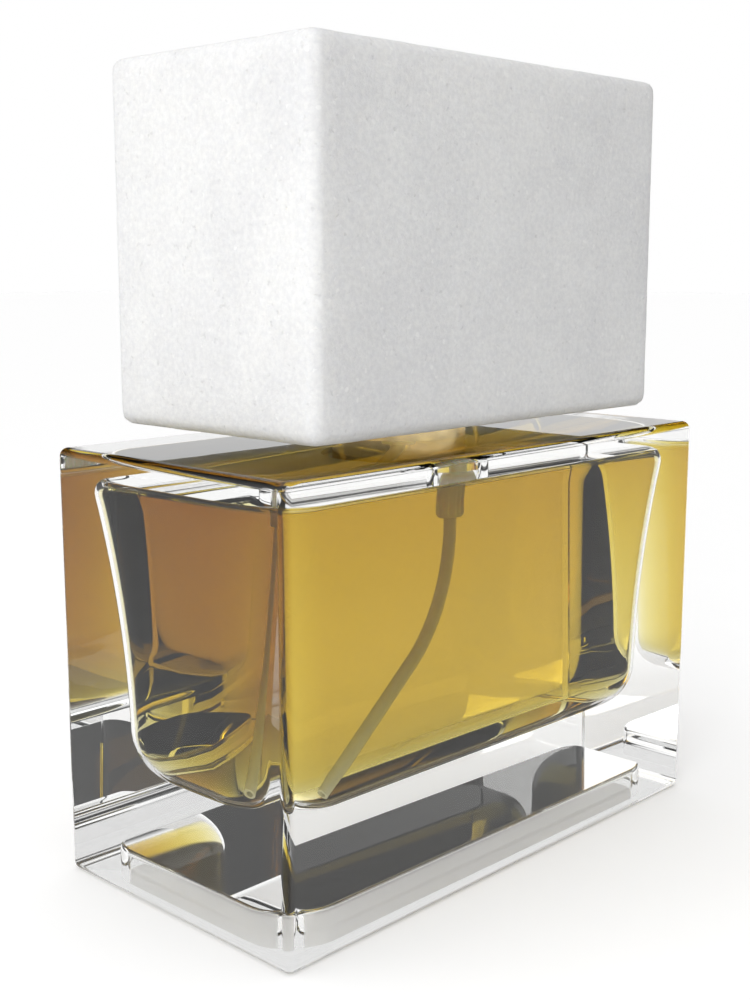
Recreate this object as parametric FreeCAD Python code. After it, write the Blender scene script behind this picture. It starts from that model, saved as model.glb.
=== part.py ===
import FreeCAD, Part
import math
import os

# A stone-capped spray bottle for aftershave, in millimetres.
# The origin is the centre of the base, +Z is up and the wide front face looks along -Y.

# Glass bottle
bottle_width = 78.0
bottle_depth = 40.5
bottle_height = 53.8
glass_edge_radius = 1.1
neck_height = 8.0
neck_radius = 6.5
neck_root_radius = 0.8
bead_radius = 7.4
bead_height = 3.2
bead_edge_radius = 0.6
neck_bore_radius = 5.0

# Cavity of the bottle: the walls thicken towards the floor along a parabola
cavity_floor_height = 14.0
shoulder_thickness = 3.6
side_wall_top = 1.6
side_wall_gain = 3.7
front_wall_top = 3.1
front_wall_gain = 5.0
cavity_corner_radius = 4.2
cavity_floor_radius = 5.2
cavity_ceiling_radius = 2.3

# Pocket under the base and the bare label stuck to its ceiling
pocket_inset = 5.5
pocket_height = 4.3
pocket_corner_radius = 4.2
pocket_edge_radius = 0.7
label_inset = 4.0
label_corner_radius = 2.0
label_thickness = 0.12

# Liquid: it fills the cavity to its ceiling
liquid_film_gap = 0.05

# Crimp closure
gasket_thickness = 0.8
gasket_edge_gap = 0.4
gasket_bore_clearance = 0.2
ferrule_wall = 0.4
ferrule_clearance = 0.05
crimp_slant = 0.8

# Pump housing and dip tube
housing_neck_clearance = 0.4
housing_flange_thickness = 1.0
chamber_radius = 3.2
chamber_floor_thickness = 1.2
housing_bottom_rise = 0.8
nipple_radius = 2.2
nipple_drop = 6.9
nipple_wall = 0.45
nipple_lead_in = 0.3
tube_radius = 1.0
tube_bore_radius = 0.55
tube_fit_clearance = 0.03
tube_socket_depth = 3.0
tube_heading_deg = 196.5
tube_turn_deg = 60.0
tube_reach = 29.0
tube_end_height = 1.5

# Inlet valve: a ball on a cone of 45 degrees, kept in by a lip
ball_radius = 0.8
ball_seat_clearance = 0.02
ball_lift = 0.5
ball_side_clearance = 0.35
inlet_radius = 0.55
inlet_length = 0.5
ball_lip_overlap = 0.1
ball_lip_height = 0.3
ball_top_clearance = 0.1

# Piston, stem with the pin that carries the piston, and return spring
piston_height = 2.3
piston_lip_clearance = 0.03
piston_waist_depth = 0.7
piston_lip_height = 0.5
piston_slip = 0.5
piston_slip_clearance = 0.1
stop_clearance = 0.05
stem_radius = 1.6
stem_bore_radius = 0.55
pin_core_radius = 1.2
stem_running_clearance = 0.06
stem_shoulder_radius = 2.4
stem_shoulder_height = 0.8
pin_head_radius = 2.0
pin_head_height = 0.8
pin_port_radius = 0.35
pin_tail_radius = 0.85
pin_tail_length = 2.0
pin_spigot_radius = 0.95
pin_spigot_length = 2.4
pin_fit_clearance = 0.02
spring_wire = 0.4
spring_turns = 7
spring_side_clearance = 0.1

# Turret that closes the housing and guides the stem
turret_flange_thickness = 0.8
turret_flange_gap = 0.3
turret_spigot_length = 1.7
turret_spigot_clearance = 0.03
turret_neck_radius = 3.2
turret_neck_rise = 1.4
turret_hole_clearance = 0.1

# Actuator
press_stroke = 4.0
press_clearance = 0.5
actuator_radius = 6.1
actuator_height = 8.8
actuator_edge_radius = 0.7
shell_wall = 0.4
shell_fit_clearance = 0.04
dish_depth = 0.5
core_skirt_wall = 1.0
core_skirt_recess = 0.4
core_web_thickness = 0.9
post_radius = 2.7
stem_engagement = 2.9
stem_socket_clearance = 0.04
channel_radius = 0.55
channel_rise = 1.3
nozzle_radius = 1.5
nozzle_length = 2.2
nozzle_fit_clearance = 0.03
nozzle_recess = 0.1
nozzle_orifice_radius = 0.25
nozzle_cup_radius = 0.9
nozzle_face_thickness = 0.7
nozzle_window_clearance = 0.25

# Collar that hides the crimp
collar_clearance = 0.25
collar_wall = 0.6
collar_lip_thickness = 0.7
collar_lip_clearance = 0.15
collar_edge_radius = 0.4
collar_overlap = 1.0

# Stone cap and the liner glued into it
cap_width = 64.5
cap_depth = 35.6
cap_height = 43.5
cap_gap = 2.5
cap_edge_radius = 1.6
liner_grip_clearance = 0.08
liner_wall = 1.4
liner_mouth_recess = 0.7
liner_lead_in = 0.5
liner_top_clearance = 1.1
liner_headroom = 4.8
liner_roof = 1.2
glue_gap = 0.05

# Levels that follow from the sizes above
cavity_ceiling = bottle_height - shoulder_thickness
neck_top = bottle_height + neck_height
gasket_top = neck_top + gasket_thickness
housing_top = gasket_top + housing_flange_thickness
turret_flange_top = housing_top + turret_flange_thickness
ferrule_top = turret_flange_top + ferrule_wall
turret_top = ferrule_top + turret_neck_rise
turret_bottom = housing_top - turret_spigot_length

housing_radius = neck_bore_radius - housing_neck_clearance
housing_bottom = cavity_ceiling + housing_bottom_rise
chamber_floor = housing_bottom + chamber_floor_thickness
nipple_bottom = cavity_ceiling - nipple_drop
tube_socket_top = nipple_bottom + tube_socket_depth
inlet_top = tube_socket_top + inlet_length
ball_pocket_radius = ball_radius + ball_side_clearance
ball_contact_radius = ball_radius * math.cos(math.radians(45))
ball_centre = inlet_top + 2 * ball_contact_radius - inlet_radius + ball_seat_clearance
ball_pocket_top = ball_centre + ball_radius + ball_lift + ball_top_clearance
ball_lip_radius = ball_radius - ball_lip_overlap
spring_seat = ball_pocket_top + ball_lip_height

stem_shoulder_top = turret_bottom - stop_clearance
stem_shoulder_bottom = stem_shoulder_top - stem_shoulder_height
piston_top = stem_shoulder_bottom - piston_slip - piston_slip_clearance
piston_bottom = piston_top - piston_height
pin_head_top = piston_bottom - stop_clearance
pin_head_bottom = pin_head_top - pin_head_height
pin_tail_bottom = pin_head_bottom - pin_tail_length
pin_top = stem_shoulder_bottom + pin_spigot_length
spring_bore_radius = nipple_radius - nipple_wall
spring_mean_radius = spring_bore_radius - spring_side_clearance - spring_wire / 2

shell_bottom = ferrule_top + press_stroke + press_clearance
post_bottom = turret_top + press_stroke + press_clearance
stem_top = post_bottom + stem_engagement
channel_height = stem_top + channel_rise
actuator_top = shell_bottom + actuator_height
collar_top = shell_bottom + collar_overlap

ferrule_inner_radius = bead_radius + ferrule_clearance
ferrule_outer_radius = ferrule_inner_radius + ferrule_wall
collar_inner_radius = ferrule_outer_radius + collar_clearance
collar_outer_radius = collar_inner_radius + collar_wall
liner_inner_radius = collar_outer_radius + liner_grip_clearance
liner_outer_radius = liner_inner_radius + liner_wall
liner_upper_radius = actuator_radius + liner_top_clearance
liner_ceiling = actuator_top + liner_headroom
liner_top = liner_ceiling + liner_roof
cap_bottom = bottle_height + cap_gap
cap_top = cap_bottom + cap_height

up = FreeCAD.Vector(0, 0, 1)
origin = FreeCAD.Vector(0, 0, 0)


def point(radius, height):
    """A point of a turned profile, in the XZ plane."""
    return FreeCAD.Vector(radius, 0, height)


def round_to(centre_radius, centre_height, radius, start_deg, end_deg):
    """The middle and the end of a rounding arc of a turned profile."""
    angles = (math.radians((start_deg + end_deg) / 2), math.radians(end_deg))
    return tuple((centre_radius + radius * math.cos(a), centre_height + radius * math.sin(a)) for a in angles)


def turned(start, *steps):
    """A solid of revolution: a step is a point to go to, or the middle and end of an arc."""
    edges = []
    here = point(*start)
    for step in steps + (start,):
        if isinstance(step[0], tuple):
            middle, end = (point(*place) for place in step)
            edges.append(Part.Arc(here, middle, end).toShape())
        else:
            end = point(*step)
            edges.append(Part.LineSegment(here, end).toShape())
        here = end
    return Part.Face(Part.Wire(edges)).revolve(origin, up, 360)


def rod(radius, low, high):
    """A round bar on the bottle's axis."""
    return Part.makeCylinder(radius, high - low, point(0, low))


def front_rod(radius, height, inner_y, outer_y):
    """A round bar that points to the front from the axis."""
    start = FreeCAD.Vector(0, -inner_y, height)
    return Part.makeCylinder(radius, outer_y - inner_y, start, FreeCAD.Vector(0, -1, 0))


def rounded_block(width, depth, low, high, radius):
    """A block with every edge rounded."""
    block = Part.makeBox(width, depth, high - low, FreeCAD.Vector(-width / 2, -depth / 2, low))
    return block.makeFillet(radius, block.Edges)


def rounded_rectangle(half_x, half_y, corner, height):
    """A level outline with rounded corners, as one wire."""
    flat_x = half_x - corner
    flat_y = half_y - corner
    arcs = []
    for flip_x, flip_y, start_deg in ((1, 1, 0), (-1, 1, 90), (-1, -1, 180), (1, -1, 270)):
        centre = FreeCAD.Vector(flip_x * flat_x, flip_y * flat_y, height)
        angles = [math.radians(start_deg + step) for step in (0, 45, 90)]
        arcs.append([centre + FreeCAD.Vector(math.cos(a), math.sin(a), 0) * corner for a in angles])
    edges = []
    for arc, next_arc in zip(arcs, arcs[1:] + arcs[:1]):
        edges.append(Part.Arc(*arc).toShape())
        edges.append(Part.LineSegment(arc[-1], next_arc[0]).toShape())
    return Part.Wire(edges)


def prism(half_x, half_y, corner, low, high):
    """An upright bar with rounded corners."""
    face = Part.Face(rounded_rectangle(half_x, half_y, corner, low))
    return face.extrude(up * (high - low))


def cavity(gap):
    """The inside of the bottle, drawn in by a gap."""
    floor = cavity_floor_height + gap
    ceiling = cavity_ceiling - gap

    def section(height, drawn_in):
        share = (height - cavity_floor_height) / (cavity_ceiling - cavity_floor_height)
        thinning = 1 - share * share
        half_x = bottle_width / 2 - side_wall_top - side_wall_gain * thinning - drawn_in - gap
        half_y = bottle_depth / 2 - front_wall_top - front_wall_gain * thinning - drawn_in - gap
        return rounded_rectangle(half_x, half_y, cavity_corner_radius, height)

    angles = [math.radians(angle) for angle in (0, 30, 60, 90)]
    rounding = [(1 - math.cos(angle), 1 - math.sin(angle)) for angle in angles]
    bottom = [section(floor + cavity_floor_radius * rise, cavity_floor_radius * drawn_in)
              for rise, drawn_in in rounding]
    top = [section(ceiling - cavity_ceiling_radius * rise, cavity_ceiling_radius * drawn_in)
           for rise, drawn_in in reversed(rounding)]
    wall_low = floor + cavity_floor_radius
    wall_high = ceiling - cavity_ceiling_radius
    walls = [section(wall_low + (wall_high - wall_low) * share, 0) for share in (0, 0.25, 0.5, 0.75, 1)]
    floor_part, wall_part, ceiling_part = [Part.makeLoft(part, True, False) for part in (bottom, walls, top)]
    return floor_part.fuse([wall_part, ceiling_part]).removeSplitter()


def neck():
    """The glass neck with its crimp bead, still without a bore."""
    bead_bottom = neck_top - bead_height
    slope_bottom = bead_bottom - (bead_radius - neck_radius)
    root_centre = (neck_radius + neck_root_radius, bottle_height + neck_root_radius, neck_root_radius)
    edge = bead_radius - bead_edge_radius
    return turned(
        (0, bottle_height - shoulder_thickness / 2),
        (neck_radius + neck_root_radius, bottle_height - shoulder_thickness / 2),
        (neck_radius + neck_root_radius, bottle_height),
        round_to(*root_centre, 270, 180),
        (neck_radius, slope_bottom),
        (bead_radius, bead_bottom),
        (bead_radius, neck_top - bead_edge_radius),
        round_to(edge, neck_top - bead_edge_radius, bead_edge_radius, 0, 90),
        (0, neck_top))


def base_pocket():
    """The pocket that leaves a bearing ring round the base."""
    half_x = bottle_width / 2 - pocket_inset
    half_y = bottle_depth / 2 - pocket_inset
    pocket = prism(half_x, half_y, pocket_corner_radius, 0, pocket_height)
    ceiling_edges = [edge for edge in pocket.Edges if edge.BoundBox.ZMin > pocket_height / 2]
    return pocket.makeFillet(pocket_edge_radius, ceiling_edges)


def glass_bottle():
    body = rounded_block(bottle_width, bottle_depth, 0, bottle_height, glass_edge_radius)
    bore = rod(neck_bore_radius, cavity_ceiling - cavity_ceiling_radius, neck_top)
    return body.fuse(neck()).cut(cavity(0).fuse(bore)).cut(base_pocket()).removeSplitter()


def base_label():
    half_x = bottle_width / 2 - pocket_inset - label_inset
    half_y = bottle_depth / 2 - pocket_inset - label_inset
    return prism(half_x, half_y, label_corner_radius, pocket_height - label_thickness, pocket_height)


def tube_bar(radius):
    """A round bar along the dip tube: down out of the nipple, one bend, then straight to a lower corner."""
    turn = math.radians(tube_turn_deg)
    heading = math.radians(tube_heading_deg)
    drop = nipple_bottom - cavity_floor_height - tube_end_height
    bend_radius = ((drop * math.sin(turn) - tube_reach * math.cos(turn))
                   / (math.sin(turn) ** 2 - (1 - math.cos(turn)) * math.cos(turn)))

    outward = FreeCAD.Vector(math.cos(heading), math.sin(heading), 0)
    bend_start = point(0, nipple_bottom)
    bend_centre = bend_start + outward * bend_radius
    run_start = bend_centre - outward * bend_radius * math.cos(turn) - up * bend_radius * math.sin(turn)
    run = bend_start + outward * tube_reach - up * drop - run_start

    ring = Part.Face(Part.Wire([Part.Circle(bend_start, up, radius).toShape()]))
    upper_piece = ring.extrude(up * tube_socket_depth)
    bend = ring.revolve(bend_centre, outward.cross(up), tube_turn_deg)
    lower_piece = Part.makeCylinder(radius, run.Length, run_start, run)
    return upper_piece.fuse([bend, lower_piece]).removeSplitter()


def dip_tube():
    return tube_bar(tube_radius).cut(tube_bar(tube_bore_radius))


def aftershave():
    """The liquid: the drawn-in cavity round the nipple and the tube."""
    nipple = rod(nipple_radius + liquid_film_gap, nipple_bottom - liquid_film_gap, cavity_ceiling)
    return cavity(liquid_film_gap).cut(nipple).cut(tube_bar(tube_radius + liquid_film_gap))


def neck_gasket():
    inner = housing_radius + gasket_bore_clearance
    outer = bead_radius - gasket_edge_gap
    return rod(outer, neck_top, gasket_top).cut(rod(inner, neck_top, gasket_top))


def crimp_ferrule():
    """The metal cup over the bead, with its rim crimped in below it."""
    hole = turret_neck_radius + turret_hole_clearance
    bend = neck_top - bead_height
    rim = bend - crimp_slant
    return turned(
        (hole, turret_flange_top),
        (ferrule_inner_radius, turret_flange_top),
        (ferrule_inner_radius, bend),
        (ferrule_inner_radius - crimp_slant, rim),
        (ferrule_inner_radius - crimp_slant, rim - ferrule_wall),
        (ferrule_outer_radius, bend - ferrule_wall / 2),
        (ferrule_outer_radius, ferrule_top - ferrule_wall),
        round_to(ferrule_inner_radius, turret_flange_top, ferrule_wall, 0, 90),
        (hole, ferrule_top))


def collar():
    inner_lip = actuator_radius + collar_lip_clearance
    edge = collar_outer_radius - collar_edge_radius
    return turned(
        (collar_inner_radius, bottle_height),
        (collar_outer_radius, bottle_height),
        (collar_outer_radius, collar_top - collar_edge_radius),
        round_to(edge, collar_top - collar_edge_radius, collar_edge_radius, 0, 90),
        (inner_lip, collar_top),
        (inner_lip, collar_top - collar_lip_thickness),
        (collar_inner_radius, collar_top - collar_lip_thickness))


def pump_housing():
    flange = bead_radius - gasket_edge_gap
    tube_socket = tube_radius + tube_fit_clearance
    return turned(
        (chamber_radius, housing_top),
        (flange, housing_top),
        (flange, gasket_top),
        (housing_radius, gasket_top),
        (housing_radius, housing_bottom + chamber_floor_thickness / 2),
        (housing_radius - chamber_floor_thickness / 2, housing_bottom),
        (nipple_radius, housing_bottom),
        (nipple_radius, nipple_bottom + nipple_lead_in),
        (nipple_radius - nipple_lead_in, nipple_bottom),
        (tube_socket, nipple_bottom),
        (tube_socket, tube_socket_top),
        (inlet_radius, tube_socket_top),
        (inlet_radius, inlet_top),
        (ball_pocket_radius, inlet_top + ball_pocket_radius - inlet_radius),
        (ball_pocket_radius, ball_pocket_top),
        (ball_lip_radius, ball_pocket_top),
        (ball_lip_radius, spring_seat),
        (spring_bore_radius, spring_seat),
        (spring_bore_radius, chamber_floor),
        (chamber_radius, chamber_floor))


def pump_turret():
    flange = bead_radius - turret_flange_gap
    spigot = chamber_radius - turret_spigot_clearance
    bore = stem_radius + stem_running_clearance
    return turned(
        (bore, turret_top),
        (turret_neck_radius, turret_top),
        (turret_neck_radius, turret_flange_top),
        (flange, turret_flange_top),
        (flange, housing_top),
        (spigot, housing_top),
        (spigot, turret_bottom),
        (bore, turret_bottom))


def pump_stem():
    """The hollow stem, with the shoulder that the turret stops."""
    spigot_hole = pin_spigot_radius + pin_fit_clearance
    hole_top = pin_top + pin_fit_clearance
    return turned(
        (spigot_hole, stem_shoulder_bottom),
        (stem_shoulder_radius, stem_shoulder_bottom),
        (stem_shoulder_radius, stem_shoulder_top),
        (stem_radius, stem_shoulder_top),
        (stem_radius, stem_top),
        (stem_bore_radius, stem_top),
        (stem_bore_radius, hole_top),
        (spigot_hole, hole_top))


def piston_pin():
    """The pin pressed into the stem: a core for the piston, a head below it and a tail for the spring."""
    pin = turned(
        (0, pin_tail_bottom),
        (pin_tail_radius, pin_tail_bottom),
        (pin_tail_radius, pin_head_bottom),
        (pin_head_radius, pin_head_bottom),
        (pin_head_radius, pin_head_top),
        (pin_core_radius, pin_head_top),
        (pin_core_radius, stem_shoulder_bottom),
        (pin_spigot_radius, stem_shoulder_bottom),
        (pin_spigot_radius, pin_top),
        (0, pin_top))
    port_height = pin_head_top + 2 * pin_port_radius
    ports = Part.makeCylinder(pin_port_radius, 2 * pin_core_radius,
                              FreeCAD.Vector(-pin_core_radius, 0, port_height), FreeCAD.Vector(1, 0, 0))
    return pin.cut(rod(stem_bore_radius, port_height - pin_port_radius, pin_top)).cut(ports)


def pump_piston():
    lip = chamber_radius - piston_lip_clearance
    waist = chamber_radius - piston_waist_depth
    bore = pin_core_radius + stem_running_clearance
    return turned(
        (bore, piston_bottom),
        (lip, piston_bottom),
        (lip, piston_bottom + piston_lip_height),
        (waist, piston_bottom + 2 * piston_lip_height),
        (waist, piston_top - 2 * piston_lip_height),
        (lip, piston_top - piston_lip_height),
        (lip, piston_top),
        (bore, piston_top))


def tangent_arc(start, tangent, reach, end):
    """The arc that leaves start along tangent and ends at end, with both legs of length reach."""
    corner = start + tangent * reach
    turn = tangent.getAngle(end - corner)
    radius = reach / math.tan(turn / 2)
    inward = ((start + end) / 2 - corner).normalize()
    return Part.Arc(start, corner + inward * radius * (1 / math.cos(turn / 2) - 1), end).toShape()


def return_spring():
    """One unbroken coil between the spring seat and the pin's head, on two arcs a quarter turn."""
    low = spring_seat + spring_wire / 2 + stop_clearance
    high = pin_head_bottom - spring_wire / 2 - stop_clearance
    pitch = (high - low) / spring_turns
    slope = pitch / (2 * math.pi)

    def place(angle):
        return FreeCAD.Vector(spring_mean_radius * math.cos(angle), spring_mean_radius * math.sin(angle),
                              low + slope * angle)

    def direction(angle):
        along = FreeCAD.Vector(-math.sin(angle), math.cos(angle), slope / spring_mean_radius)
        return along.normalize()

    edges = []
    for quarter in range(4 * spring_turns):
        begin = quarter * math.pi / 2
        start, start_way = place(begin), direction(begin)
        end, end_way = place(begin + math.pi / 2), direction(begin + math.pi / 2)
        chord = end - start
        square = 2 * (1 - start_way.dot(end_way))
        linear = 2 * chord.dot(start_way + end_way)
        reach = (math.sqrt(linear ** 2 + 4 * square * chord.dot(chord)) - linear) / (2 * square)
        joint = (start + start_way * reach + end - end_way * reach) / 2
        edges.append(tangent_arc(start, start_way, reach, joint))
        edges.append(tangent_arc(joint, (end - end_way * reach - joint).normalize(), reach, end))
    ring = Part.Wire([Part.Circle(place(0), direction(0), spring_wire / 2).toShape()])
    spring = Part.Wire(edges).makePipeShell([ring], True, False)

    steps_per_turn = 36
    line = [place(2 * math.pi * step / steps_per_turn) for step in range(steps_per_turn * spring_turns + 1)]
    half_turn = steps_per_turn // 2
    least = min(a.distanceToPoint(b) for i, a in enumerate(line) for b in line[i + half_turn:])
    print("return spring least gap to itself %.2f" % (least - spring_wire))
    return spring


def inlet_ball():
    return Part.makeSphere(ball_radius, point(0, ball_centre))


def actuator_core():
    """The moulded inside of the button: skirt, web, post with the stem's socket, channel and nozzle seat."""
    outer = actuator_radius - shell_wall - shell_fit_clearance
    inner = outer - core_skirt_wall
    low = shell_bottom + core_skirt_recess
    high = actuator_top - shell_wall - dish_depth - shell_fit_clearance
    web_bottom = channel_height - nozzle_radius - core_web_thickness
    core = turned(
        (0, post_bottom),
        (post_radius, post_bottom),
        (post_radius, web_bottom),
        (inner, web_bottom),
        (inner, low),
        (outer, low),
        (outer, high),
        (0, high))
    socket = rod(stem_radius + stem_socket_clearance, post_bottom, stem_top + stop_clearance)
    riser = rod(channel_radius, stem_top, channel_height)
    seat_depth = actuator_radius - nozzle_recess - nozzle_length
    channel = front_rod(channel_radius, channel_height, 0, seat_depth)
    seat = front_rod(nozzle_radius + nozzle_fit_clearance, channel_height, seat_depth, actuator_radius)
    return core.cut(socket).cut(riser).cut(channel).cut(seat)


def actuator_shell():
    """The metal skin of the button, with a finger dish on top and a window for the nozzle."""
    inner = actuator_radius - shell_wall
    edge = actuator_radius - actuator_edge_radius
    dish_radius = (edge ** 2 + dish_depth ** 2) / (2 * dish_depth)
    half_turn = math.asin(edge / dish_radius) / 2
    dish_middle = (dish_radius * math.sin(half_turn),
                   actuator_top - dish_depth + dish_radius * (1 - math.cos(half_turn)))
    shell = turned(
        (0, actuator_top - dish_depth - shell_wall),
        (inner, actuator_top - dish_depth - shell_wall),
        (inner, shell_bottom),
        (actuator_radius, shell_bottom),
        (actuator_radius, actuator_top - actuator_edge_radius),
        round_to(edge, actuator_top - actuator_edge_radius, actuator_edge_radius, 0, 90),
        (dish_middle, (0, actuator_top - dish_depth)))
    window = nozzle_radius + nozzle_window_clearance
    return shell.cut(front_rod(window, channel_height, inner - shell_wall, actuator_radius + shell_wall))


def nozzle_insert():
    """The spray cup: a closed face with the orifice, open towards the channel."""
    front = actuator_radius - nozzle_recess
    back = front - nozzle_length
    insert = front_rod(nozzle_radius, channel_height, back, front)
    cup = front_rod(nozzle_cup_radius, channel_height, back, front - nozzle_face_thickness)
    orifice = front_rod(nozzle_orifice_radius, channel_height, back, front)
    return insert.cut(cup).cut(orifice)


def cap_block():
    block = rounded_block(cap_width, cap_depth, cap_bottom, cap_top, cap_edge_radius)
    return block.cut(rod(liner_outer_radius + glue_gap, cap_bottom, liner_top + glue_gap))


def cap_liner():
    """The lining of the cap: it grips the collar and sits on it with an inner step."""
    mouth = cap_bottom + liner_mouth_recess
    step = collar_top + stop_clearance
    return turned(
        (0, liner_ceiling),
        (liner_upper_radius, liner_ceiling),
        (liner_upper_radius, step),
        (liner_inner_radius, step),
        (liner_inner_radius, mouth + liner_lead_in),
        (liner_inner_radius + liner_lead_in, mouth),
        (liner_outer_radius, mouth),
        (liner_outer_radius, liner_top),
        (0, liner_top))


pieces = (glass_bottle, aftershave, base_label, dip_tube,
          neck_gasket, crimp_ferrule, collar, pump_housing, pump_turret,
          inlet_ball, return_spring, pump_stem, piston_pin, pump_piston,
          actuator_core, actuator_shell, nozzle_insert, cap_block, cap_liner)

os.makedirs("parts", exist_ok=True)
for piece in pieces:
    shape = piece()
    if shape.ShapeType == "Compound" and len(shape.Solids) == 1:
        shape = shape.Solids[0]
    shape.exportStep("parts/%s.step" % piece.__name__)
    print("%s: %.1f mm3, valid %s" % (piece.__name__, shape.Volume, shape.isValid()))
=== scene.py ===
import math

import bpy
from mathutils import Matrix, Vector


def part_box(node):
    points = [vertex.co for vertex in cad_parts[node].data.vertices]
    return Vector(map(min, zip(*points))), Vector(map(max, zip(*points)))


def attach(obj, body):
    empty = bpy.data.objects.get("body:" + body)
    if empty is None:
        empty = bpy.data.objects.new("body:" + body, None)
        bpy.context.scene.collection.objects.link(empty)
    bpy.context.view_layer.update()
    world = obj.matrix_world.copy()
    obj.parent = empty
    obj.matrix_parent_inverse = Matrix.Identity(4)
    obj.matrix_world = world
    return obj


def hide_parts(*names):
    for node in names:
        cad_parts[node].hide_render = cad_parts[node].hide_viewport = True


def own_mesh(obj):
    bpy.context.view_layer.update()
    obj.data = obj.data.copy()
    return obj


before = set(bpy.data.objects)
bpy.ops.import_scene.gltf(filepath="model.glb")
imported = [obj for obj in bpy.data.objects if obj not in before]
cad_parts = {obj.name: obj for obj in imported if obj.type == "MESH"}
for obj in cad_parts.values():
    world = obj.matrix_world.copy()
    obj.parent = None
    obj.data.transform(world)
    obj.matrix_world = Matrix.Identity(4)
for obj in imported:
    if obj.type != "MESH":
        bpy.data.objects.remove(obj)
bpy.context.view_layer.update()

# Sizes taken from the frame
glass_low, glass_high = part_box("glass_bottle")
label_low, label_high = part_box("base_label")
cap_low, cap_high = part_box("cap_block")
lining_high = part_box("cap_liner")[1]
shoulder_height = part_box("collar")[0].z
bottle_width = glass_high.x - glass_low.x
bottle_depth = glass_high.y - glass_low.y
pocket_height = label_high.z

# Glass
glass_edge_radius = 0.0011
neck_radius = 0.0065
bead_radius = 0.0074
bead_height = 0.0032
neck_bore_radius = 0.0050
pocket_inset = 0.0055
pocket_corner_radius = 0.0042
pocket_edge_radius = 0.0007

# Cavity: the walls thicken towards the floor along a parabola
cavity_floor = 0.0140
ceiling_thickness = 0.0036
cavity_ceiling = shoulder_height - ceiling_thickness
side_wall_top = 0.0016
side_wall_gain = 0.0037
front_wall_top = 0.0031
front_wall_gain = 0.0050
cavity_corner_radius = 0.0040
cavity_floor_radius = 0.0052
cavity_ceiling_radius = 0.0023
wall_steps = 16

# Cutting bodies stick out by this much
overcut = 0.001

# Light bends where glass or plastic meets the liquid, so those faces carry the ratio of the two indices
glass_index = 1.5
liquid_index = 1.36
liquid_gap = 0.00003

# Pump nipple and dip tube
nipple_radius = 0.0022
nipple_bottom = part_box("pump_housing")[0].z
tube_radius = 0.0010
tube_bore_radius = 0.00055
tube_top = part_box("dip_tube")[1].z
tube_heading = math.radians(196.5)
tube_turn = math.radians(60.0)
tube_reach = 0.0290
tube_end_height = 0.0155

# Label
label_corner_radius = 0.0020
label_gap = 0.00002

# Stone cap
cap_edge_radius = 0.0016
cap_trim = Vector((0.00036, 0.00036, 0.0))
cap_top_trim = Vector((0.0, 0.0, 0.0004))
cap_mesh_size = 0.0006
honing_scale = 0.006
honing_depth = 0.00012

# Camera, fitted to the corners of the bottle and the cap in the photo
camera_azimuth = math.radians(-46.308)
camera_elevation = math.radians(9.652)
camera_target = Vector((-0.00446, 0.0, 0.04548))
camera_distance = 0.18056
camera_lens = 50.30
sensor_width = 36.0

# Studio
paper_lift = 0.25
dim_studio = (0.04, 0.04, 0.04, 1)
overhead_light = (1.42, 1.42, 1.42, 1)
left_light = (1.14, 1.14, 1.14, 1)
white = (1, 1, 1, 1)
backdrop_top = 0.19
backdrop_fade = 0.24
key_place = Vector((-0.24, -0.16, 0.17))
key_size = 0.14
key_power = 0.24


# Modelling helpers
def start():
    """Nothing is selected before a new primitive is added."""
    bpy.ops.object.select_all(action="DESELECT")


def activate(obj):
    start()
    obj.select_set(True)
    bpy.context.view_layer.objects.active = obj


def settle():
    """Applies the place and scale of the active object."""
    bpy.ops.object.transform_apply(location=True, rotation=True, scale=True)
    return bpy.context.active_object


def block(low, high):
    start()
    bpy.ops.mesh.primitive_cube_add(size=1, location=(Vector(low) + Vector(high)) / 2)
    bpy.context.active_object.scale = Vector(high) - Vector(low)
    return settle()


def rod(radius, low, high, sides=96):
    start()
    bpy.ops.mesh.primitive_cylinder_add(vertices=sides, radius=radius, depth=high - low,
                                        location=(0, 0, (low + high) / 2))
    return settle()


def edit_faces(obj, wanted):
    """Edit mode with the faces selected whose centre and normal pass a test."""
    activate(obj)
    bpy.ops.object.mode_set(mode="EDIT")
    bpy.ops.mesh.select_mode(type="FACE")
    bpy.ops.mesh.select_all(action="DESELECT")
    bpy.ops.object.mode_set(mode="OBJECT")
    for face in obj.data.polygons:
        face.select = wanted(face.center, face.normal)
    bpy.ops.object.mode_set(mode="EDIT")


def edit_edges(obj, wanted):
    """Edit mode with the edges selected whose two ends pass a test."""
    activate(obj)
    bpy.ops.object.mode_set(mode="EDIT")
    bpy.ops.mesh.select_mode(type="EDGE")
    bpy.ops.mesh.select_all(action="DESELECT")
    bpy.ops.object.mode_set(mode="OBJECT")
    corners = [vertex.co for vertex in obj.data.vertices]
    for edge in obj.data.edges:
        edge.select = wanted(*[corners[i] for i in edge.vertices])
    bpy.ops.object.mode_set(mode="EDIT")


def leave_edit():
    bpy.ops.object.mode_set(mode="OBJECT")


def upright(a, b):
    return abs(a.z - b.z) > 0.9 * (a - b).length


def every(a, b):
    return True


def round_edges(obj, wanted, radius, segments):
    edit_edges(obj, wanted)
    bpy.ops.mesh.bevel(offset=radius, segments=segments, affect="EDGES", clamp_overlap=True)
    leave_edit()


def extrude_selected(rise, spread_x=1.0, spread_y=1.0):
    """Pulls the selected face up and widens it about the bottle's axis."""
    bpy.ops.mesh.extrude_region_move(TRANSFORM_OT_translate={"value": (0, 0, rise)})
    bpy.ops.transform.resize(value=(spread_x, spread_y, 1), center_override=(0, 0, 0))


def apply_modifier(obj, kind, **settings):
    activate(obj)
    modifier = obj.modifiers.new(kind.lower(), kind)
    for name, value in settings.items():
        setattr(modifier, name, value)
    bpy.ops.object.modifier_apply(modifier=modifier.name)


def combine(obj, other, operation):
    apply_modifier(obj, "BOOLEAN", object=other, operation=operation, solver="EXACT")
    bpy.data.objects.remove(other)


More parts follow.
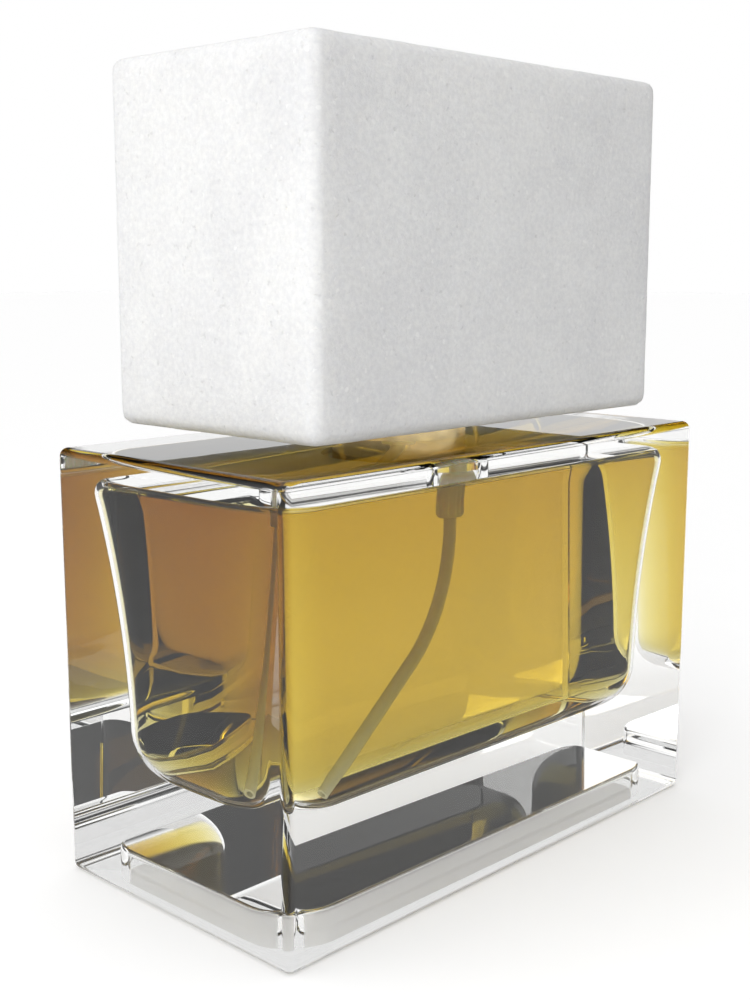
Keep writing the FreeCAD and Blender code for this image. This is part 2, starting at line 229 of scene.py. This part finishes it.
def outward_normals(obj):
    activate(obj)
    bpy.ops.object.mode_set(mode="EDIT")
    bpy.ops.mesh.select_all(action="SELECT")
    bpy.ops.mesh.remove_doubles(threshold=0.000001)
    bpy.ops.mesh.normals_make_consistent(inside=False)
    leave_edit()


def shade(obj, sharp_from=32):
    """Smooth shading up to an angle between faces, in degrees."""
    activate(obj)
    bpy.ops.object.shade_smooth_by_angle(angle=math.radians(sharp_from))


def smooth(obj):
    """Smooth shading that leaves the large flat faces flat."""
    shade(obj)
    apply_modifier(obj, "WEIGHTED_NORMAL", keep_sharp=True, weight=100)


def place(obj, name, body, slot, material, *nodes):
    """Names a finished piece, gives it its material, ties it to its body and hides the nodes it stands for.
    The slot is not used.
    """
    obj.name = name
    obj.data.name = name
    obj.data.materials.clear()
    obj.data.materials.append(material)
    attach(obj, body)
    if nodes:
        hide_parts(*nodes)
    return obj


def smooth_copy(node):
    """A copy of a turned node, merged and smoothly shaded."""
    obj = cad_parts[node].copy()
    obj.data = obj.data.copy()
    obj.parent = None
    bpy.context.scene.collection.objects.link(obj)
    outward_normals(obj)
    shade(obj)
    return obj


# Shader helpers
def feed(tree, socket, value):
    """Links another node's output to a socket, or sets the socket to a plain value."""
    if isinstance(value, bpy.types.NodeSocket):
        tree.links.new(value, socket)
    else:
        socket.default_value = value


def add_node(tree, kind, inputs=None, **settings):
    """A shader node with its settings; an input is a value or another node's output."""
    node = tree.nodes.new("ShaderNode" + kind)
    for name, value in settings.items():
        setattr(node, name, value)
    for name, value in (inputs or {}).items():
        feed(tree, node.inputs[name], value)
    return node


def math_node(tree, operation, first, second=0.0):
    return add_node(tree, "Math", {0: first, 1: second}, operation=operation).outputs[0]


def weighted(tree, first, share, second):
    """A sum of two values in which the first has a share and the second has the rest."""
    return math_node(tree, "ADD", math_node(tree, "MULTIPLY", first, share),
                     math_node(tree, "MULTIPLY", second, 1 - share))


def noise(tree, vector, scale, detail=2.0, roughness=0.5):
    inputs = {"Vector": vector, "Scale": scale, "Detail": detail, "Roughness": roughness}
    return add_node(tree, "TexNoise", inputs).outputs["Fac"]


def between(tree, value, from_low, from_high, to_low, to_high):
    """A value moved smoothly from one range to another."""
    inputs = {"Value": value, "From Min": from_low, "From Max": from_high,
              "To Min": to_low, "To Max": to_high}
    return add_node(tree, "MapRange", inputs, interpolation_type="SMOOTHSTEP").outputs["Result"]


def blend_colours(tree, share, first, second):
    mix = add_node(tree, "Mix", data_type="RGBA")
    for socket, value in zip((mix.inputs[0], mix.inputs[6], mix.inputs[7]), (share, first, second)):
        feed(tree, socket, value)
    return mix.outputs[2]


def shared_group(name, sockets_in, sockets_out):
    """An empty node group with named sockets, and its two end nodes."""
    tree = bpy.data.node_groups.new(name, "ShaderNodeTree")
    for socket_name, kind in sockets_in:
        tree.interface.new_socket(socket_name, in_out="INPUT", socket_type="NodeSocket" + kind)
    for socket_name, kind in sockets_out:
        tree.interface.new_socket(socket_name, in_out="OUTPUT", socket_type="NodeSocket" + kind)
    return tree, tree.nodes.new("NodeGroupInput").outputs, tree.nodes.new("NodeGroupOutput").inputs


def use_group(tree, group, inputs):
    node = tree.nodes.new("ShaderNodeGroup")
    node.node_tree = group
    for name, value in inputs.items():
        feed(tree, node.inputs[name], value)
    return node.outputs


def make_mottle():
    """Two colours in soft clouds, with a roughness that follows them and a fine grain for the bump."""
    tree, given, out = shared_group(
        "mottle",
        [("Vector", "Vector"), ("Light Color", "Color"), ("Dark Color", "Color"), ("Cloud Scale", "Float"),
         ("Grain Scale", "Float"), ("Roughness Low", "Float"), ("Roughness High", "Float")],
        [("Color", "Color"), ("Roughness", "Float"), ("Height", "Float")])
    cloud = noise(tree, given["Vector"], given["Cloud Scale"], 4.0, 0.55)
    grain = noise(tree, given["Vector"], given["Grain Scale"], 3.0, 0.6)
    share = between(tree, cloud, 0.35, 0.7, 0.0, 1.0)
    colour = blend_colours(tree, share, given["Light Color"], given["Dark Color"])
    mixed = weighted(tree, cloud, 0.5, grain)
    roughness = between(tree, mixed, 0.35, 0.65, given["Roughness Low"], given["Roughness High"])
    tree.links.new(colour, out["Color"])
    tree.links.new(roughness, out["Roughness"])
    tree.links.new(grain, out["Height"])
    return tree


def make_stone():
    """White marble: faint clouds, sugary grain, small pits painted darker as shade, and a few glossier
    crystals painted lighter as glints.
    """
    tree, given, out = shared_group(
        "white marble",
        [("Vector", "Vector"), ("Light Color", "Color"), ("Dark Color", "Color"), ("Pit Shade Color", "Color"),
         ("Crystal Glint Color", "Color")],
        [("Color", "Color"), ("Roughness", "Float"), ("Height", "Float")])
    broad = noise(tree, given["Vector"], 30.0, 3.0)
    patches = noise(tree, given["Vector"], 130.0, 5.0, 0.6)
    grain = noise(tree, given["Vector"], 1500.0, 4.0, 0.7)
    hollows = noise(tree, given["Vector"], 1150.0)
    cells = add_node(tree, "TexVoronoi", {"Vector": given["Vector"], "Scale": 2400.0}).outputs["Color"]
    clouded = between(tree, weighted(tree, broad, 0.6, patches), 0.38, 0.64, 0.0, 1.0)
    grained = between(tree, grain, 0.3, 0.7, 0.0, 1.0)
    mingled = weighted(tree, clouded, 0.45, grained)
    colour = blend_colours(tree, mingled, given["Light Color"], given["Dark Color"])
    # The pits are dented in the bump and painted darker: painted shade in the hollows.
    shaded_pit = between(tree, hollows, 0.64, 0.76, 0.0, 0.4)
    colour = blend_colours(tree, shaded_pit, colour, given["Pit Shade Color"])
    # The crystals are glossier, and they are painted lighter as a glint: a painted highlight.
    facet = add_node(tree, "SeparateColor", {"Color": cells}).outputs["Red"]
    glinting_crystal = between(tree, facet, 0.982, 0.996, 0.0, 0.6)
    colour = blend_colours(tree, glinting_crystal, colour, given["Crystal Glint Color"])
    roughness = math_node(tree, "SUBTRACT", 0.62, math_node(tree, "MULTIPLY", glinting_crystal, 0.2))
    height = math_node(tree, "SUBTRACT", weighted(tree, patches, 0.25, grain), shaded_pit)
    tree.links.new(colour, out["Color"])
    tree.links.new(roughness, out["Roughness"])
    tree.links.new(height, out["Height"])
    return tree


mottle = make_mottle()
white_marble = make_stone()


def new_material(name):
    """A material with an empty Principled shader, and the object coordinates its textures read."""
    material = bpy.data.materials.new(name)
    material.use_nodes = True
    tree = material.node_tree
    shader = tree.nodes["Principled BSDF"]
    place_on = add_node(tree, "TexCoord").outputs["Object"]
    return material, tree, shader, place_on


def bump(tree, shader, height, strength, distance):
    node = add_node(tree, "Bump", {"Height": height, "Strength": strength, "Distance": distance})
    tree.links.new(node.outputs["Normal"], shader.inputs["Normal"])


def set_values(shader, values):
    for name, value in values.items():
        shader.inputs[name].default_value = value


def mottled(name, light, dark, rough, cloud_scale=120.0, grain_scale=900.0, relief=0.00001, **values):
    """A material of two close tones with uneven gloss."""
    material, tree, shader, coords = new_material(name)
    effect = use_group(tree, mottle, {
        "Vector": coords, "Light Color": (*light, 1), "Dark Color": (*dark, 1), "Cloud Scale": cloud_scale,
        "Grain Scale": grain_scale, "Roughness Low": rough[0], "Roughness High": rough[1]})
    tree.links.new(effect["Color"], shader.inputs["Base Color"])
    tree.links.new(effect["Roughness"], shader.inputs["Roughness"])
    if relief:
        bump(tree, shader, effect["Height"], 0.3, relief)
    set_values(shader, values)
    return material


def absorb(material, colour, density):
    """Colours the light that goes through a clear body by the length of its path."""
    tree = material.node_tree
    volume = add_node(tree, "VolumeAbsorption", {"Color": (*colour, 1), "Density": density})
    tree.links.new(volume.outputs["Volume"], tree.nodes["Material Output"].inputs["Volume"])


clear_glass = mottled(
    "clear glass", light=(1.0, 1.0, 0.995), dark=(0.985, 0.99, 0.98), rough=(0.0, 0.006),
    cloud_scale=60.0, grain_scale=90.0, relief=0.0, **{"Transmission Weight": 1.0, "IOR": glass_index})
glass_on_liquid = mottled(
    "glass on liquid", light=(1.0, 1.0, 0.995), dark=(0.985, 0.99, 0.98), rough=(0.0, 0.006),
    cloud_scale=60.0, grain_scale=240.0, relief=0.0,
    **{"Transmission Weight": 1.0, "IOR": glass_index / liquid_index})
amber_liquid = mottled(
    "amber liquid", light=(1.0, 1.0, 1.0), dark=(1.0, 0.995, 0.985), rough=(0.0, 0.002),
    cloud_scale=40.0, grain_scale=120.0, relief=0.0, **{"Transmission Weight": 1.0, "IOR": 1.0})
absorb(amber_liquid, (0.862, 0.762, 0.020), 135.0)
clear_plastic = mottled(
    "clear plastic", light=(1.0, 1.0, 0.98), dark=(0.96, 0.96, 0.93), rough=(0.08, 0.16),
    cloud_scale=400.0, grain_scale=2500.0, relief=0.000003,
    **{"Transmission Weight": 0.35, "IOR": glass_index / liquid_index})
natural_plastic = mottled(
    "natural plastic", light=(0.86, 0.85, 0.80), dark=(0.80, 0.79, 0.73), rough=(0.28, 0.42),
    cloud_scale=300.0, grain_scale=2500.0, **{"Subsurface Weight": 0.3, "Subsurface Scale": 0.001})
gold_aluminium = mottled(
    "gold aluminium", light=(0.90, 0.72, 0.40), dark=(0.86, 0.66, 0.34), rough=(0.16, 0.26),
    cloud_scale=220.0, grain_scale=3000.0, relief=0.000004, **{"Metallic": 1.0})
bare_aluminium = mottled(
    "bare aluminium", light=(0.88, 0.88, 0.89), dark=(0.80, 0.80, 0.81), rough=(0.20, 0.34),
    cloud_scale=260.0, grain_scale=3000.0, relief=0.000004, **{"Metallic": 1.0})
spring_steel = mottled(
    "spring steel", light=(0.62, 0.61, 0.59), dark=(0.52, 0.51, 0.49), rough=(0.22, 0.36),
    cloud_scale=500.0, grain_scale=4000.0, relief=0.000003, **{"Metallic": 1.0})
gasket_foam = mottled(
    "gasket", light=(0.42, 0.42, 0.41), dark=(0.34, 0.34, 0.33), rough=(0.6, 0.8),
    cloud_scale=500.0, grain_scale=3000.0, relief=0.00003)
label_paper = mottled(
    "label", light=(0.78, 0.72, 0.62), dark=(0.70, 0.64, 0.54), rough=(0.5, 0.65),
    cloud_scale=90.0, grain_scale=2200.0, relief=0.00002)


def make_white_stone():
    material, tree, shader, coords = new_material("white stone")
    # The darker colour of the pits is painted shade.
    # The lighter colour of the crystals is a painted glint.
    effect = use_group(tree, white_marble, {
        "Vector": coords, "Light Color": (0.91, 0.91, 0.90, 1), "Dark Color": (0.76, 0.76, 0.77, 1),
        "Pit Shade Color": (0.62, 0.62, 0.62, 1), "Crystal Glint Color": (0.94, 0.94, 0.93, 1)})
    tree.links.new(effect["Color"], shader.inputs["Base Color"])
    tree.links.new(effect["Roughness"], shader.inputs["Roughness"])
    bump(tree, shader, effect["Height"], 0.42, 0.0005)
    set_values(shader, {"Subsurface Weight": 0.45, "Subsurface Radius": (1.0, 0.95, 0.86),
                        "Subsurface Scale": 0.006, "Specular IOR Level": 0.4})
    return material


white_stone = make_white_stone()


# Cavity outline, level by level
def section(height, drawn_in):
    """Half width and half depth of the cavity at a height."""
    share = (height - cavity_floor) / (cavity_ceiling - cavity_floor)
    thinning = 1 - share * share
    return (bottle_width / 2 - side_wall_top - side_wall_gain * thinning - drawn_in,
            bottle_depth / 2 - front_wall_top - front_wall_gain * thinning - drawn_in)


def cavity_levels(top):
    """Heights and half sizes from the floor up to a level under the ceiling's rounding."""
    levels = []
    for angle in range(0, 91, 10):
        turn = math.radians(angle)
        height = cavity_floor + cavity_floor_radius * (1 - math.cos(turn))
        levels.append((height, *section(height, cavity_floor_radius * (1 - math.sin(turn)))))
    wall_start = cavity_floor + cavity_floor_radius
    for step in range(1, wall_steps + 1):
        height = wall_start + (top - wall_start) * step / wall_steps
        levels.append((height, *section(height, 0)))
    return levels


def ceiling_levels():
    """Heights and half sizes through the rounding under the ceiling."""
    levels = []
    for angle in range(75, -1, -15):
        turn = math.radians(angle)
        height = cavity_ceiling - cavity_ceiling_radius * (1 - math.cos(turn))
        levels.append((height, *section(height, cavity_ceiling_radius * (1 - math.sin(turn)))))
    return levels


def stacked(levels, grow):
    """A body with rounded corners along a stack of levels, left in edit mode with its top selected."""
    (floor, half_x, half_y), (second, next_x, next_y) = levels[:2]
    obj = block((-half_x - grow, -half_y - grow, floor - grow), (half_x + grow, half_y + grow, second))
    round_edges(obj, upright, cavity_corner_radius, 10)
    edit_faces(obj, lambda centre, normal: normal.z > 0.9)
    bpy.ops.transform.resize(value=((next_x + grow) / (half_x + grow), (next_y + grow) / (half_y + grow), 1),
                             center_override=(0, 0, 0))
    for (height, x, y), (next_height, next_x, next_y) in zip(levels[1:], levels[2:]):
        extrude_selected(next_height - height, (next_x + grow) / (x + grow), (next_y + grow) / (y + grow))
    return obj


def make_tube(outer, inner):
    """The dip tube: straight out of the nipple, one bend, then straight to a lower corner."""
    outward = Vector((math.cos(tube_heading), math.sin(tube_heading), 0))
    drop = nipple_bottom - tube_end_height
    bend_radius = ((drop * math.sin(tube_turn) - tube_reach * math.cos(tube_turn))
                   / (math.sin(tube_turn) ** 2 - (1 - math.cos(tube_turn)) * math.cos(tube_turn)))
    bend_start = Vector((0, 0, nipple_bottom))
    run_start = (bend_start + outward * bend_radius * (1 - math.cos(tube_turn))
                 - Vector((0, 0, bend_radius * math.sin(tube_turn))))
    run_end = bend_start + outward * tube_reach - Vector((0, 0, drop))
    start()
    bpy.ops.mesh.primitive_circle_add(vertices=32, radius=outer, location=(0, 0, tube_top))
    obj = settle()
    bpy.ops.object.mode_set(mode="EDIT")
    bpy.ops.mesh.select_mode(type="VERT")
    bpy.ops.mesh.select_all(action="SELECT")
    bpy.ops.mesh.extrude_region_move(TRANSFORM_OT_translate={"value": (0, 0, nipple_bottom - tube_top)})
    bpy.ops.mesh.spin(steps=24, angle=tube_turn, center=bend_start + outward * bend_radius,
                      axis=Vector((0, 0, 1)).cross(outward))
    bpy.ops.mesh.extrude_region_move(TRANSFORM_OT_translate={"value": run_end - run_start})
    leave_edit()
    outward_normals(obj)
    apply_modifier(obj, "SOLIDIFY", thickness=outer - inner, offset=-1.0, use_even_offset=True)
    return obj


def make_glass():
    """The thick bottle: block, neck with bead, cavity with bore, and the pocket under the base."""
    bottle = block(glass_low, (glass_high.x, glass_high.y, shoulder_height))
    round_edges(bottle, every, glass_edge_radius, 6)
    neck_top = glass_high.z - bead_height - (bead_radius - neck_radius)
    neck = rod(neck_radius, shoulder_height - overcut, neck_top)
    edit_faces(neck, lambda centre, normal: normal.z > 0.9)
    extrude_selected(bead_radius - neck_radius, bead_radius / neck_radius, bead_radius / neck_radius)
    extrude_selected(bead_height)
    leave_edit()
    combine(bottle, neck, "UNION")
    cavity = stacked(cavity_levels(cavity_ceiling - cavity_ceiling_radius) + ceiling_levels(), 0.0)
    leave_edit()
    combine(bottle, cavity, "DIFFERENCE")
    bore = rod(neck_bore_radius, cavity_ceiling - cavity_ceiling_radius, glass_high.z + overcut)
    combine(bottle, bore, "DIFFERENCE")
    pocket = block((glass_low.x + pocket_inset, glass_low.y + pocket_inset, -overcut),
                   (glass_high.x - pocket_inset, glass_high.y - pocket_inset, pocket_height))
    round_edges(pocket, upright, pocket_corner_radius, 10)
    round_edges(pocket, lambda a, b: min(a.z, b.z) > pocket_height * 0.9, pocket_edge_radius, 4)
    combine(bottle, pocket, "DIFFERENCE")
    outward_normals(bottle)
    smooth(bottle)
    return bottle


def wetted(spot):
    """True for the walls of the cavity."""
    return (pocket_height * 2 < spot.z < cavity_ceiling + liquid_gap
            and abs(spot.x) < bottle_width / 2 - side_wall_top / 2
            and abs(spot.y) < bottle_depth / 2 - front_wall_top / 2)


def make_liquid():
    """The liquid fills the cavity, hollow where the tube and the nipple stand in it."""
    levels = cavity_levels(cavity_ceiling - cavity_ceiling_radius) + ceiling_levels()
    liquid = stacked(levels, -liquid_gap)
    bpy.ops.transform.translate(value=(0, 0, -liquid_gap))
    leave_edit()
    nipple = rod(nipple_radius + liquid_gap, nipple_bottom - liquid_gap, shoulder_height)
    combine(liquid, nipple, "DIFFERENCE")
    tube = make_tube(tube_radius + liquid_gap, tube_bore_radius - liquid_gap)
    combine(liquid, tube, "DIFFERENCE")
    outward_normals(liquid)
    smooth(liquid)
    return liquid


def make_label():
    """The bare label, a hair below the glass it is stuck to."""
    label = block(label_low, label_high - Vector((0, 0, label_gap)))
    round_edges(label, upright, label_corner_radius, 8)
    outward_normals(label)
    return label


def make_cap():
    """The stone block, trimmed to the outline in the photo, with soft edges and an uneven honed surface."""
    cap = block(cap_low + cap_trim, cap_high - cap_trim - cap_top_trim)
    round_edges(cap, every, cap_edge_radius, 8)
    apply_modifier(cap, "REMESH", mode="VOXEL", voxel_size=cap_mesh_size)
    clouds = bpy.data.textures.new("honing", "CLOUDS")
    clouds.noise_scale = honing_scale
    clouds.noise_depth = 3
    apply_modifier(cap, "DISPLACE", texture=clouds, texture_coords="LOCAL", strength=honing_depth,
                   mid_level=0.5)
    combine(cap, rod(lining_high.x, cap_low.z - 5 * overcut, lining_high.z), "DIFFERENCE")
    outward_normals(cap)
    shade(cap, 40)
    return cap


bottle = place(make_glass(), "thick_glass_bottle", "bottle", "clear_glass", clear_glass, "glass_bottle")
bottle.data.materials.append(glass_on_liquid)
for face in bottle.data.polygons:
    if wetted(face.center):
        face.material_index = 1
place(make_liquid(), "amber_aftershave", "bottle", "amber_liquid", amber_liquid, "aftershave")
place(make_label(), "bare_label", "bottle", "label", label_paper, "base_label")
dip_tube = make_tube(tube_radius, tube_bore_radius)
outward_normals(dip_tube)
smooth(dip_tube)
place(dip_tube, "bent_dip_tube", "bottle", "clear_plastic", clear_plastic, "dip_tube")
place(make_cap(), "honed_stone_block", "cap", "white_stone", white_stone, "cap_block")

turned_pieces = (
    ("cap_liner", "cap_lining", "cap", "natural_plastic", natural_plastic),
    ("collar", "gold_collar", "bottle", "gold_aluminium", gold_aluminium),
    ("crimp_ferrule", "crimped_ferrule", "bottle", "bare_aluminium", bare_aluminium),
    ("pump_housing", "pump_body", "bottle", "natural_plastic", natural_plastic),
    ("pump_turret", "pump_closure", "bottle", "natural_plastic", natural_plastic),
    ("actuator_core", "button_core", "button", "natural_plastic", natural_plastic),
    ("actuator_shell", "gold_button", "button", "gold_aluminium", gold_aluminium),
    ("nozzle_insert", "spray_nozzle", "button", "natural_plastic", natural_plastic),
    ("pump_stem", "pump_rod", "plunger", "natural_plastic", natural_plastic))
for node, name, body, slot, material in turned_pieces:
    place(smooth_copy(node), name, body, slot, material, node)

# The coil, which is squeezed towards its seat as the button goes down, gets a mesh of its own
coil_spring = place(smooth_copy("return_spring"), "coil_spring", "bottle", "spring_steel", spring_steel,
                    "return_spring")
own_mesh(coil_spring)

hidden_nodes = {
    "neck_gasket": gasket_foam, "inlet_ball": spring_steel,
    "piston_pin": natural_plastic, "pump_piston": natural_plastic}
for node, material in hidden_nodes.items():
    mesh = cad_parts[node].data
    mesh.materials.clear()
    mesh.materials.append(material)


# Floor, light and camera
def seen_rays(tree):
    """1 for the rays that show the background: to the camera, in a reflection and through glass alike."""
    path = add_node(tree, "LightPath").outputs
    mirrored = math_node(tree, "MAXIMUM", path["Is Camera Ray"], path["Is Glossy Ray"])
    return math_node(tree, "MAXIMUM", mirrored, path["Is Transmission Ray"])


def make_floor():
    """White paper, a little lifted wherever it is looked at, which keeps the shadow of the bottle."""
    start()
    bpy.ops.mesh.primitive_plane_add(size=6.0, location=(0, 0, 0))
    floor = bpy.context.active_object
    floor.name = "floor"
    material, tree, shader, coords = new_material("floor paper")
    paper = blend_colours(tree, noise(tree, coords, 60.0), (0.93, 0.93, 0.93, 1), (0.91, 0.91, 0.91, 1))
    tree.links.new(paper, shader.inputs["Base Color"])
    lift = math_node(tree, "MULTIPLY", seen_rays(tree), paper_lift)
    tree.links.new(lift, shader.inputs["Emission Strength"])
    set_values(shader, {"Emission Color": white, "Roughness": 0.9, "Specular IOR Level": 0.0})
    floor.data.materials.append(material)


def direction_share(tree, direction, heading, low, high):
    """0 to 1 by how closely a direction points along a heading."""
    inputs = {0: direction, 1: Vector(heading).normalized()}
    closeness = add_node(tree, "VectorMath", inputs, operation="DOT_PRODUCT").outputs["Value"]
    return between(tree, closeness, low, high, 0.0, 1.0)


def make_world():
    """A soft studio, bright overhead and on the left, with a white backdrop low down all round."""
    world = bpy.data.worlds.new("studio")
    bpy.context.scene.world = world
    world.use_nodes = True
    tree = world.node_tree
    background = tree.nodes["Background"]
    direction = add_node(tree, "TexCoord").outputs["Generated"]
    overhead = direction_share(tree, direction, (0, 0, 1), 0.6, 0.9)
    left = direction_share(tree, direction, (-1.0, 0.1, 0.25), 0.35, 0.85)
    colour = blend_colours(tree, overhead, dim_studio, overhead_light)
    colour = blend_colours(tree, left, colour, left_light)
    height = add_node(tree, "SeparateXYZ", {"Vector": direction}).outputs["Z"]
    low_down = between(tree, height, backdrop_top, backdrop_fade, 1.0, 0.0)
    backdrop = math_node(tree, "MULTIPLY", seen_rays(tree), low_down)
    tree.links.new(blend_colours(tree, backdrop, colour, white), background.inputs["Color"])


def make_key_light():
    """A small soft light near the front left edge of the stone."""
    bpy.ops.object.light_add(type="AREA", location=key_place)
    lamp = bpy.context.active_object
    lamp.rotation_mode = "QUATERNION"
    lamp.rotation_quaternion = (camera_target - key_place).to_track_quat("-Z", "Y")
    lamp.data.size = key_size
    lamp.data.energy = key_power


def make_camera():
    back = Vector((math.sin(camera_azimuth) * math.cos(camera_elevation),
                   -math.cos(camera_azimuth) * math.cos(camera_elevation), math.sin(camera_elevation)))
    bpy.ops.object.camera_add(location=camera_target + back * camera_distance)
    camera = bpy.context.active_object
    camera.rotation_mode = "QUATERNION"
    camera.rotation_quaternion = (-back).to_track_quat("-Z", "Y")
    camera.data.lens = camera_lens
    camera.data.sensor_width = sensor_width
    camera.data.clip_start = 0.01
    bpy.context.scene.camera = camera


make_floor()
make_world()
make_key_light()
make_camera()
bpy.context.scene.view_settings.view_transform = "Standard"
